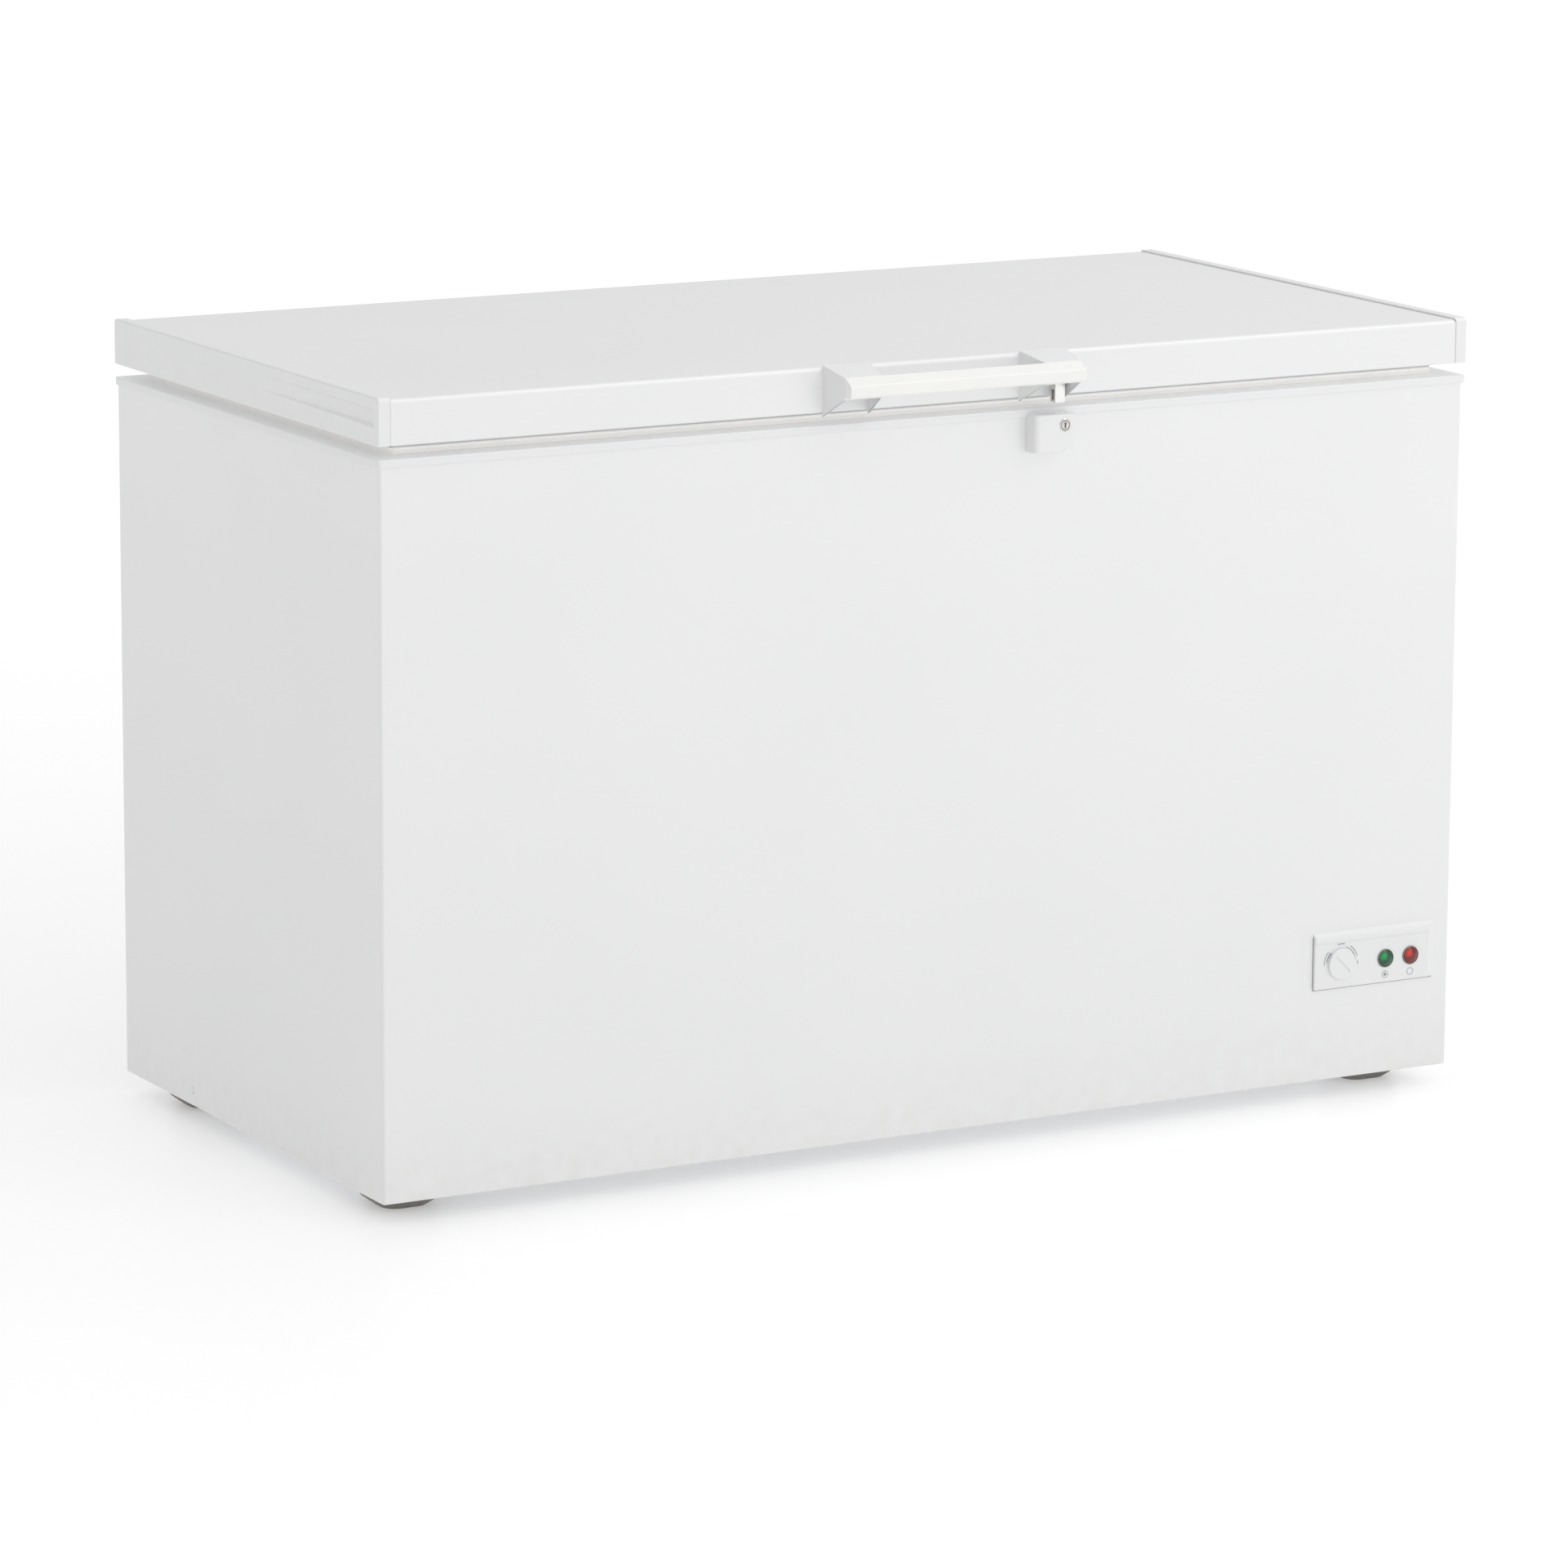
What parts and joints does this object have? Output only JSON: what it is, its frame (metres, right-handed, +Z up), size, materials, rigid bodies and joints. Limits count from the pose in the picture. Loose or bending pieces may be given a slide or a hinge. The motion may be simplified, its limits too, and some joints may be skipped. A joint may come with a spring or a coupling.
{
  "type": "chest freezer",
  "caption": "White chest freezer: insulated tub on feet with a rear-hinged lid, bar handle, key lock, storage basket and a small control panel low on the right.",
  "frame": {"origin": "on the floor, in the middle of the overall width and of the overall depth from the handle's front to the hinges' back", "axes": "+X to the right as seen from the front, +Y to the back, +Z up"},
  "size_m": [1.3, 0.726, 0.85],
  "materials": {
    "white_enamel": "smooth gloss white enamel with a faint orange peel",
    "galvanised_sheet": "satin zinc with a faint spangle",
    "rigid_foam": "pale yellow rigid foam",
    "embossed_liner": "white coated metal with a fine emboss",
    "white_plastic": "cool white moulded plastic, satin",
    "warm_white_plastic": "warm white moulded plastic, satin",
    "ivory_seal": "soft ivory vinyl",
    "copper_tube": "drawn copper, lightly oxidised",
    "black_enamel": "semi-gloss black paint",
    "black_rubber": "matte black rubber",
    "black_plastic": "matte black moulded plastic",
    "grey_plastic": "dark grey-brown moulded plastic",
    "zinc_steel": "zinc plated steel",
    "bright_chrome": "bright plated, lightly worn",
    "green_lens": "clear green moulded lens",
    "red_lens": "clear red moulded lens",
    "coated_wire": "white plastic coated wire"
  },
  "bodies": {
    "cabinet": {"outer_wrap": "white_enamel", "back_panel": "galvanised_sheet", "base_pan": "galvanised_sheet", "step_plate": "galvanised_sheet", "cabinet_foam": "rigid_foam", "inner_liner": "embossed_liner", "top_frame": "white_plastic", "evaporator_coil": "copper_tube", "condenser_coil": "copper_tube", "filter_drier": "copper_tube", "capillary_tube": "copper_tube", "discharge_pipe": "copper_tube", "suction_pipe": "copper_tube", "compressor_tray": "galvanised_sheet", "compressor": "black_enamel", "compressor_grommets": "black_rubber", "compressor_bolts": "zinc_steel", "starter_box": "black_plastic", "side_grille": "white_plastic", "rear_cover": "galvanised_sheet", "rear_cover_screws": "zinc_steel", "cable_gland": "black_plastic", "side_plug": "white_plastic", "drain_tube": "grey_plastic", "drain_cap": "white_plastic", "feet": "grey_plastic", "foot_screws": "zinc_steel", "control_panel": "white_plastic", "control_box": "black_plastic", "thermostat_body": "zinc_steel", "lamp_green": "green_lens", "lamp_red": "red_lens", "lamp_holders": "black_plastic", "lock_housing": "white_plastic", "hinge_base_left": "zinc_steel", "hinge_base_right": "zinc_steel", "hinge_pins": "zinc_steel", "hinge_base_screws": "zinc_steel", "hinge_springs": "zinc_steel"},
    "lid": {"lid_top_panel": "white_enamel", "lid_end_cap_left": "white_plastic", "lid_end_cap_right": "white_plastic", "lid_foam": "rigid_foam", "lid_inner_liner": "white_plastic", "gasket": "ivory_seal", "handle_bracket_left": "white_plastic", "handle_bracket_right": "white_plastic", "handle_bar": "warm_white_plastic", "handle_screws": "zinc_steel", "keeper": "zinc_steel", "keeper_screws": "zinc_steel", "hinge_leaf_left": "zinc_steel", "hinge_leaf_right": "zinc_steel", "hinge_leaf_screws": "zinc_steel"},
    "thermostat_knob": {"thermostat_knob": "white_plastic"},
    "lock": {"lock_barrel": "bright_chrome", "lock_hook": "zinc_steel"},
    "drain_plug": {"drain_plug": "white_plastic"},
    "plungers": {"hinge_plungers": "zinc_steel"},
    "basket": {"basket": "coated_wire"}
  },
  "joints": [
    {"name": "lid_hinge", "type": "hinge", "parent": "cabinet", "child": "lid", "pos_m": [0, 0.347, 0.806], "axis": [-1, 0, 0], "range_deg": [0, 80], "stiffness_Nm_per_rad": 12.9, "springref_deg": 97.4},
    {"name": "plunger_travel", "type": "slide", "parent": "cabinet", "child": "plungers", "axis": [0, 0, 1], "range_m": [0, 0.0085], "deforming": ["hinge_springs"]},
    {"name": "thermostat_turn", "type": "hinge", "parent": "cabinet", "child": "thermostat_knob", "pos_m": [0.5046, -0.313, 0.1526], "axis": [0, 1, 0], "range_deg": [-30, 165]},
    {"name": "lock_turn", "type": "hinge", "parent": "cabinet", "child": "lock", "pos_m": [0.1355, -0.329, 0.771], "axis": [0, 1, 0], "range_deg": [0, 90]},
    {"name": "drain_plug_pull", "type": "slide", "parent": "cabinet", "child": "drain_plug", "axis": [0, 0, 1], "range_m": [0, 0.03]},
    {"name": "basket_slide", "type": "slide", "parent": "cabinet", "child": "basket", "axis": [-1, 0, 0], "range_m": [0, 0.9]}
  ],
  "couplings": [
    {"joint": "plunger_travel", "follows": "lid_hinge", "m_per_rad": 0.006}
  ]
}
